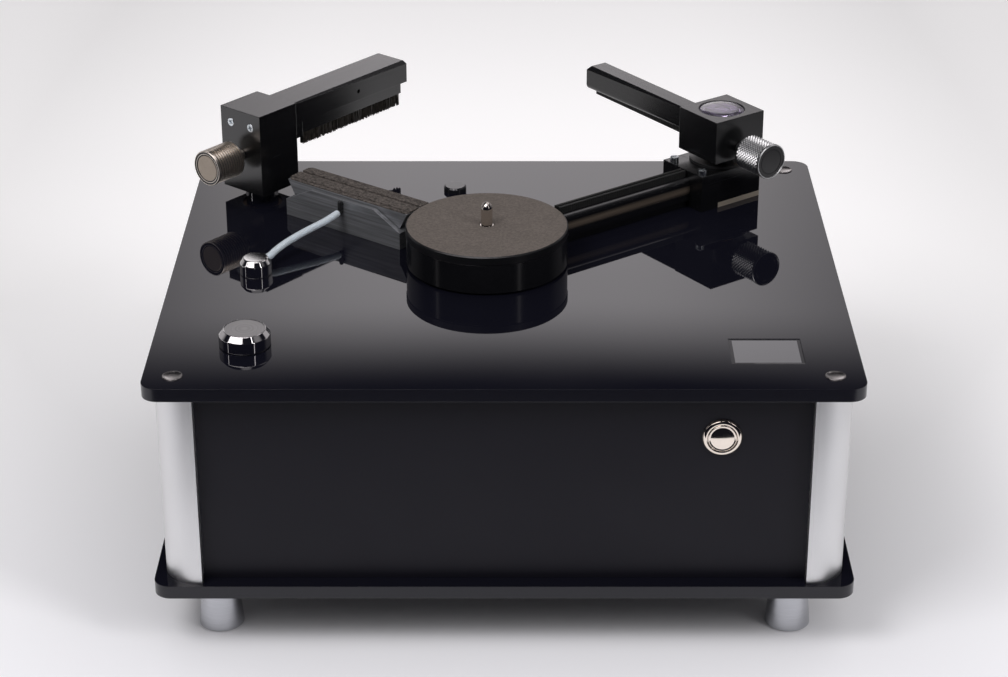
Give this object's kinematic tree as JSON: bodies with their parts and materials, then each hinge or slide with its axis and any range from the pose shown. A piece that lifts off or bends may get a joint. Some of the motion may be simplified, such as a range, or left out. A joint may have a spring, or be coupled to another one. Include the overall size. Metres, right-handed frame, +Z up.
{
  "type": "record cleaning machine",
  "caption": "Low square case on conical feet with a label-sized platter and spindle, a swinging brush arm, a swinging suction arm, a program dial and a display.",
  "frame": {"origin": "on the floor, under the middle of the object's box with both arms parked", "axes": "+Z up, front panel with the power button facing -Y, +X to the right of someone facing the front"},
  "size_m": [0.406, 0.382, 0.2338],
  "materials": {
    "gloss_black_acrylic": "mirror polished",
    "panel_black": "satin",
    "satin_aluminium": "satin anodised",
    "black_aluminium": "brushed, black anodised",
    "grey_aluminium": "satin",
    "platter_black": "gloss",
    "pad_grey": "matte, fine grain",
    "felt_grey": "felt",
    "steel": "turned",
    "knob_steel": "turned and knurled",
    "chrome": "polished",
    "zinc": "bright zinc",
    "bronze": "turned",
    "black_rubber": "matte",
    "bristle": "matte",
    "clear_hose": "translucent",
    "display_glass": "polished",
    "lens": "polished",
    "tank_plastic": "natural",
    "board_green": "solder mask",
    "black_plastic": "satin",
    "unit_grey": "satin"
  },
  "bodies": {
    "case": {"bottom_plate": "gloss_black_acrylic", "top_plate": "gloss_black_acrylic", "corner_posts": "satin_aluminium", "front_panel": "panel_black", "rear_panel": "panel_black", "side_panels": "panel_black", "feet": "satin_aluminium", "foot_pads": "black_rubber", "plate_screws": "steel", "bearing_housing": "grey_aluminium", "drive_motor": "unit_grey", "drive_belt": "black_rubber", "post_sockets": "grey_aluminium", "arm_posts": "chrome", "brush_cradle": "black_aluminium", "felt_carrier": "black_aluminium", "felt_strips": "felt_grey", "tower_shim": "grey_aluminium", "base_block": "black_aluminium", "turn_ring": "black_plastic", "bar_bracket": "black_aluminium", "bracket_screws": "zinc", "lower_bar": "black_aluminium", "lower_lips": "black_rubber", "display_window": "display_glass", "display_module": "unit_grey", "control_board": "board_green", "dial_encoder": "black_plastic", "button_body": "chrome", "button_nut": "steel", "fluid_turret": "chrome", "fluid_hose": "clear_hose", "hose_elbow": "black_plastic", "fluid_tank": "tank_plastic", "waste_tank": "tank_plastic", "fluid_pump": "unit_grey", "vacuum_turbine": "unit_grey", "power_supply": "unit_grey", "mains_inlet": "black_plastic"},
    "platter": {"platter_body": "platter_black", "platter_pad": "pad_grey", "spindle_shaft": "steel", "platter_pulley": "grey_aluminium"},
    "motor_spindle": {"motor_pulley": "steel"},
    "left_lift": {"left_bush": "bronze"},
    "left_arm": {"left_block": "black_aluminium", "left_block_screws": "zinc", "brush_arm": "black_aluminium", "brush_holder": "black_aluminium", "bristles": "bristle"},
    "left_clamp": {"left_clamp_knob": "knob_steel"},
    "right_lift": {"right_bush": "bronze"},
    "right_arm": {"right_block": "black_aluminium", "level_lens": "lens", "suction_arm": "black_aluminium", "suction_lips": "black_rubber"},
    "right_clamp": {"right_clamp_knob": "knob_steel"},
    "program_dial": {"dial": "chrome"},
    "power_button": {"button_cap": "chrome"},
    "filler_plug": {"filler_cap": "black_rubber"}
  },
  "joints": [
    {"name": "platter_spin", "type": "hinge", "parent": "case", "child": "platter", "pos_m": [-0.011, -0.01901, 0.1979], "axis": [0, 0, 1], "continuous": true},
    {"name": "motor_spin", "type": "hinge", "parent": "case", "child": "motor_spindle", "pos_m": [-0.011, -0.09101, 0.1055], "axis": [0, 0, 1], "continuous": true},
    {"name": "left_arm_lift", "type": "slide", "parent": "case", "child": "left_lift", "axis": [0, 0, 1], "range_m": [-0.005, 0.012]},
    {"name": "left_arm_swing", "type": "hinge", "parent": "left_lift", "child": "left_arm", "pos_m": [-0.1596, 0.09299, 0.2025], "axis": [0, 0, 1], "range_deg": [-90, 10]},
    {"name": "left_clamp_turn", "type": "hinge", "parent": "left_arm", "child": "left_clamp", "pos_m": [-0.1596, 0.09299, 0.2041], "axis": [-0.6361, -0.7716, 0], "range_deg": [0, 360]},
    {"name": "right_arm_lift", "type": "slide", "parent": "case", "child": "right_lift", "axis": [0, 0, 1], "range_m": [-0.004, 0.012]},
    {"name": "right_arm_swing", "type": "hinge", "parent": "right_lift", "child": "right_arm", "pos_m": [0.14, 0.09299, 0.2125], "axis": [0, 0, 1], "range_deg": [-10, 92]},
    {"name": "right_clamp_turn", "type": "hinge", "parent": "right_arm", "child": "right_clamp", "pos_m": [0.14, 0.09299, 0.2099], "axis": [0.5878, -0.809, 0], "range_deg": [0, 360]},
    {"name": "dial_turn", "type": "hinge", "parent": "case", "child": "program_dial", "pos_m": [-0.149, -0.13451, 0.1775], "axis": [0, 0, 1], "continuous": true},
    {"name": "button_press", "type": "slide", "parent": "case", "child": "power_button", "axis": [0, 1, 0], "range_m": [0, 0.002], "stiffness_N_per_m": 800},
    {"name": "filler_lift", "type": "slide", "parent": "case", "child": "filler_plug", "axis": [0, 0, 1], "range_m": [0, 0.03]}
  ],
  "couplings": [
    {"joint": "motor_spin", "follows": "platter_spin", "ratio": 3.75}
  ]
}
